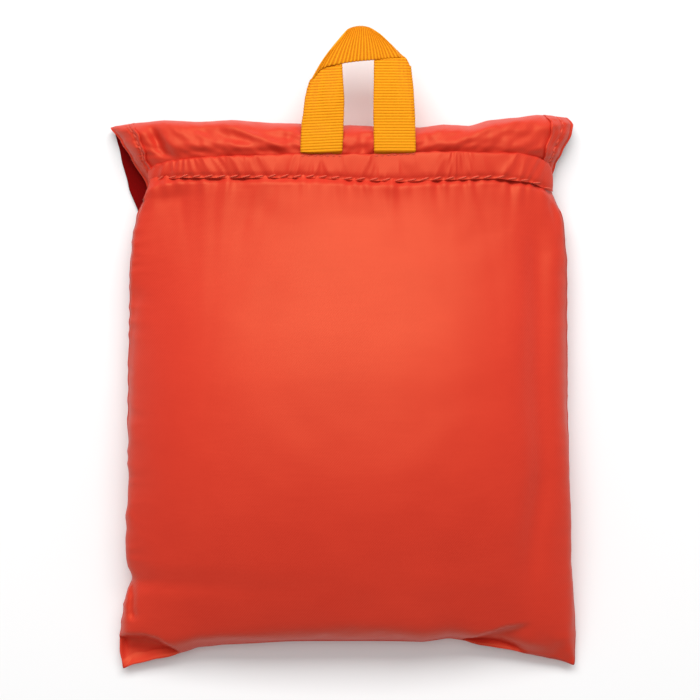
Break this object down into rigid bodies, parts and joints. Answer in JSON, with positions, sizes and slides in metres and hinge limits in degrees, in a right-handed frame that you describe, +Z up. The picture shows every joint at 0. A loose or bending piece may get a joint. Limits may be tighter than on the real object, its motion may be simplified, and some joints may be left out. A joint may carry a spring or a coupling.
{
  "type": "packed daypack",
  "caption": "Folded nylon daypack stuffed into its own flat pouch, with an elastic hem, a tucked flap and a webbing carry loop. Lies on its back.",
  "frame": {"origin": "centre of the bounding box, on the surface that the pouch lies on", "axes": "+X across the pouch, +Y along it towards the mouth and the carry loop, +Z up out of the front panel"},
  "size_m": [0.229, 0.3196, 0.0552],
  "materials": {
    "pouch_nylon": "thin coated nylon, twill weave",
    "elastic": "flat woven elastic",
    "loop_webbing": "ribbed grosgrain webbing",
    "pack_nylon": "thin coated nylon, folded",
    "binding": "woven binding tape",
    "strap_mesh": "padded strap under mesh",
    "strap_webbing": "woven webbing",
    "moulded_plastic": "moulded acetal",
    "zip_tape": "woven zip tape",
    "zip_coil": "nylon coil",
    "zip_metal": "painted zinc"
  },
  "bodies": {
    "pouch": {"front_panel": "pouch_nylon", "back_panel": "pouch_nylon", "top_flap": "pouch_nylon", "mouth_casing": "pouch_nylon", "mouth_elastic": "elastic", "carry_loop_ends": "loop_webbing", "pack_back_panel": "pack_nylon", "pack_gusset": "pack_nylon", "pack_front_panel": "pack_nylon", "pack_front_pocket": "pack_nylon", "seam_binding_left": "binding", "seam_binding_right": "binding", "shoulder_strap_left": "strap_mesh", "shoulder_strap_right": "strap_mesh", "strap_webbing_left": "strap_webbing", "strap_webbing_right": "strap_webbing", "sternum_web_socket_side": "strap_webbing", "haul_loop": "strap_webbing", "ladder_lock_left": "moulded_plastic", "ladder_lock_right": "moulded_plastic", "buckle_socket": "moulded_plastic", "zip_tapes": "zip_tape", "zip_coil": "zip_coil"},
    "carry_loop": {"carry_loop": "loop_webbing"},
    "zip_slider": {"zip_slider": "zip_metal"},
    "zip_puller": {"zip_puller": "zip_metal"},
    "buckle_plug": {"buckle_plug": "moulded_plastic", "sternum_web_plug_side": "strap_webbing"}
  },
  "joints": [
    {"name": "carry_loop_turn", "type": "hinge", "parent": "pouch", "child": "carry_loop", "pos_m": [0.0058, 0.09552, 0.038], "axis": [1, 0, 0], "range_deg": [0, 172]},
    {"name": "zip_slider_travel", "type": "slide", "parent": "pouch", "child": "zip_slider", "axis": [0, 1, 0], "range_m": [0, 0.09]},
    {"name": "zip_puller_turn", "type": "hinge", "parent": "zip_slider", "child": "zip_puller", "pos_m": [-0.021, -0.07337, 0.0208], "axis": [1, 0, 0], "range_deg": [0, 175]},
    {"name": "buckle_release", "type": "slide", "parent": "pouch", "child": "buckle_plug", "axis": [0, 1, 0], "range_m": [0, 0.0155]}
  ]
}
